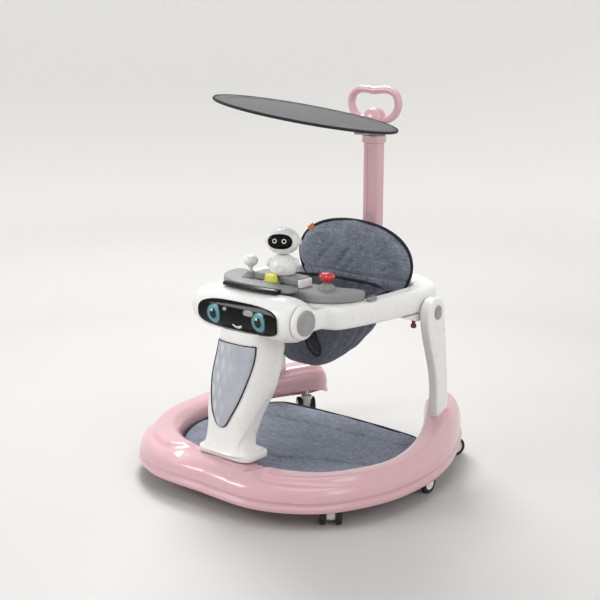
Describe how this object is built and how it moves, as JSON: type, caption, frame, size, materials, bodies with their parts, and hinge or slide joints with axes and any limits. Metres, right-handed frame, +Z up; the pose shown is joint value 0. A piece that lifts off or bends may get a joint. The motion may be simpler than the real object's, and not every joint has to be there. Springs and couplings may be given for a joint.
{
  "type": "baby walker",
  "caption": "Rolling baby walker: U-shaped base on swivel casters, front column with a face bar, tray ring on folding rear legs, fabric seat, toy tray, push handle and round sunshade.",
  "frame": {"origin": "on the floor, under the middle of the walker's bounding box", "axes": "+Z up; the face looks along -Y and the child sits facing -Y; the child's left is +X"},
  "size_m": [0.6574, 0.6282, 0.8121],
  "materials": {
    "pink_gloss": "glossy dusty-pink moulded plastic",
    "white_gloss": "glossy white moulded plastic",
    "grey_gloss": "glossy mid-grey plastic",
    "grey_plastic": "satin grey plastic",
    "visor_black": "mirror-smooth black plastic",
    "black_gloss": "glossy black plastic",
    "teal_gloss": "glossy teal rings",
    "red_gloss": "glossy red plastic",
    "dark_red_gloss": "glossy dark red plastic",
    "yellow_gloss": "glossy yellow plastic",
    "wheel_rubber": "black rubber tread with moulded hubs",
    "steel": "drawn steel",
    "denim": "washed blue-grey denim weave",
    "shade_fabric": "dark grey woven polyester"
  },
  "bodies": {
    "base": {"base_ring": "pink_gloss", "foot_mat": "denim", "column_foot_plate": "white_gloss", "front_column": "white_gloss", "column_panel": "grey_gloss", "head_shell": "white_gloss", "visor": "visor_black", "smile": "white_gloss", "eye_left": "teal_gloss", "eye_right": "teal_gloss"},
    "tray": {"tray_ring": "white_gloss", "pivot_rod": "steel", "head_cap_left": "grey_gloss", "head_cap_right": "grey_gloss", "handle_socket": "white_gloss", "seat_back": "denim", "seat_sling": "denim", "leg_bracket_left": "grey_plastic", "leg_bracket_right": "grey_plastic"},
    "rear_leg_left": {"rear_leg_left": "white_gloss", "pivot_cap_left": "grey_gloss"},
    "rear_leg_right": {"rear_leg_right": "white_gloss", "pivot_cap_right": "grey_gloss"},
    "play_tray": {"play_tray": "grey_plastic", "tray_strip": "black_gloss", "tray_clip_left": "grey_plastic", "tray_clip_right": "grey_plastic", "toy_block": "grey_plastic", "lever_dome": "grey_plastic", "red_knob_dome": "grey_plastic", "robot_body": "white_gloss"},
    "lever": {"lever_knob": "white_gloss"},
    "red_knob": {"red_knob": "red_gloss"},
    "yellow_key": {"yellow_key": "yellow_gloss"},
    "robot_head": {"robot_head": "white_gloss", "robot_face": "black_gloss"},
    "release_button_left": {"release_button_left": "dark_red_gloss"},
    "release_button_right": {"release_button_right": "dark_red_gloss"},
    "push_handle": {"handle_column": "pink_gloss", "handle_collar": "pink_gloss", "handle_dome": "pink_gloss", "handle_grip": "pink_gloss", "canopy_clamp": "grey_plastic", "clamp_screw": "grey_plastic"},
    "canopy": {"canopy_arm": "grey_plastic", "canopy_panel": "shade_fabric"},
    "caster_front_left": {"caster_front_left_fork": "white_gloss"},
    "wheels_front_left": {"caster_front_left_wheels": "wheel_rubber"},
    "caster_front_right": {"caster_front_right_fork": "white_gloss"},
    "wheels_front_right": {"caster_front_right_wheels": "wheel_rubber"},
    "caster_mid_left": {"caster_mid_left_fork": "white_gloss"},
    "wheels_mid_left": {"caster_mid_left_wheels": "wheel_rubber"},
    "caster_mid_right": {"caster_mid_right_fork": "white_gloss"},
    "wheels_mid_right": {"caster_mid_right_wheels": "wheel_rubber"},
    "caster_rear_left": {"caster_rear_left_fork": "white_gloss"},
    "wheels_rear_left": {"caster_rear_left_wheels": "wheel_rubber"},
    "caster_rear_right": {"caster_rear_right_fork": "white_gloss"},
    "wheels_rear_right": {"caster_rear_right_wheels": "wheel_rubber"}
  },
  "joints": [
    {"name": "tray_lift", "type": "hinge", "parent": "base", "child": "tray", "pos_m": [0, -0.152, 0.374], "axis": [1, 0, 0], "range_deg": [0, 35]},
    {"name": "rear_leg_fold_left", "type": "hinge", "parent": "tray", "child": "rear_leg_left", "pos_m": [0.231, 0.158, 0.354], "axis": [-1, 0, 0], "range_deg": [0, 80]},
    {"name": "rear_leg_fold_right", "type": "hinge", "parent": "tray", "child": "rear_leg_right", "pos_m": [-0.231, 0.158, 0.354], "axis": [-1, 0, 0], "range_deg": [0, 80]},
    {"name": "push_handle_pull", "type": "slide", "parent": "tray", "child": "push_handle", "axis": [0, 0, 1], "range_m": [0, 0.04]},
    {"name": "canopy_tilt", "type": "hinge", "parent": "push_handle", "child": "canopy", "pos_m": [0, 0.217, 0.7137], "axis": [1, 0, 0], "range_deg": [-25, 25]},
    {"name": "play_tray_lift", "type": "slide", "parent": "tray", "child": "play_tray", "axis": [0, 0, 1], "range_m": [0, 0.03]},
    {"name": "lever_rock", "type": "hinge", "parent": "play_tray", "child": "lever", "pos_m": [-0.092, -0.054, 0.4315], "axis": [0, 1, 0], "range_deg": [-15, 15]},
    {"name": "robot_head_turn", "type": "hinge", "parent": "play_tray", "child": "robot_head", "pos_m": [0.002, -0.058, 0.481], "axis": [0, 0, 1], "range_deg": [-60, 60]},
    {"name": "red_knob_turn", "type": "hinge", "parent": "play_tray", "child": "red_knob", "pos_m": [0.106, -0.042, 0.431], "axis": [0, 0, 1], "continuous": true},
    {"name": "yellow_key_press", "type": "slide", "parent": "play_tray", "child": "yellow_key", "axis": [0, 0, -1], "range_m": [0, 0.003], "stiffness_N_per_m": 250},
    {"name": "release_press_left", "type": "slide", "parent": "tray", "child": "release_button_left", "axis": [0, 0, 1], "range_m": [0, 0.004], "stiffness_N_per_m": 300},
    {"name": "release_press_right", "type": "slide", "parent": "tray", "child": "release_button_right", "axis": [0, 0, 1], "range_m": [0, 0.004], "stiffness_N_per_m": 300},
    {"name": "swivel_front_left", "type": "hinge", "parent": "base", "child": "caster_front_left", "pos_m": [0.237, -0.19, 0.06], "axis": [0, 0, 1], "continuous": true},
    {"name": "swivel_front_right", "type": "hinge", "parent": "base", "child": "caster_front_right", "pos_m": [-0.237, -0.19, 0.06], "axis": [0, 0, 1], "continuous": true},
    {"name": "swivel_mid_left", "type": "hinge", "parent": "base", "child": "caster_mid_left", "pos_m": [0.285, 0.041, 0.06], "axis": [0, 0, 1], "continuous": true},
    {"name": "swivel_mid_right", "type": "hinge", "parent": "base", "child": "caster_mid_right", "pos_m": [-0.285, 0.041, 0.06], "axis": [0, 0, 1], "continuous": true},
    {"name": "swivel_rear_left", "type": "hinge", "parent": "base", "child": "caster_rear_left", "pos_m": [0.206, 0.272, 0.06], "axis": [0, 0, 1], "continuous": true},
    {"name": "swivel_rear_right", "type": "hinge", "parent": "base", "child": "caster_rear_right", "pos_m": [-0.206, 0.272, 0.06], "axis": [0, 0, 1], "continuous": true},
    {"name": "roll_front_left", "type": "hinge", "parent": "caster_front_left", "child": "wheels_front_left", "pos_m": [0.24487, -0.19906, 0.021], "axis": [0.7547, 0.6561, 0], "continuous": true},
    {"name": "roll_front_right", "type": "hinge", "parent": "caster_front_right", "child": "wheels_front_right", "pos_m": [-0.24487, -0.19906, 0.021], "axis": [0.7547, -0.6561, 0], "continuous": true},
    {"name": "roll_mid_left", "type": "hinge", "parent": "caster_mid_left", "child": "wheels_mid_left", "pos_m": [0.285, 0.053, 0.021], "axis": [-1, 0, 0], "continuous": true},
    {"name": "roll_mid_right", "type": "hinge", "parent": "caster_mid_right", "child": "wheels_mid_right", "pos_m": [-0.285, 0.053, 0.021], "axis": [-1, 0, 0], "continuous": true},
    {"name": "roll_rear_left", "type": "hinge", "parent": "caster_rear_left", "child": "wheels_rear_left", "pos_m": [0.212, 0.28239, 0.021], "axis": [-0.866, 0.5, 0], "continuous": true},
    {"name": "roll_rear_right", "type": "hinge", "parent": "caster_rear_right", "child": "wheels_rear_right", "pos_m": [-0.21506, 0.27987, 0.021], "axis": [-0.6561, -0.7547, 0], "continuous": true}
  ]
}
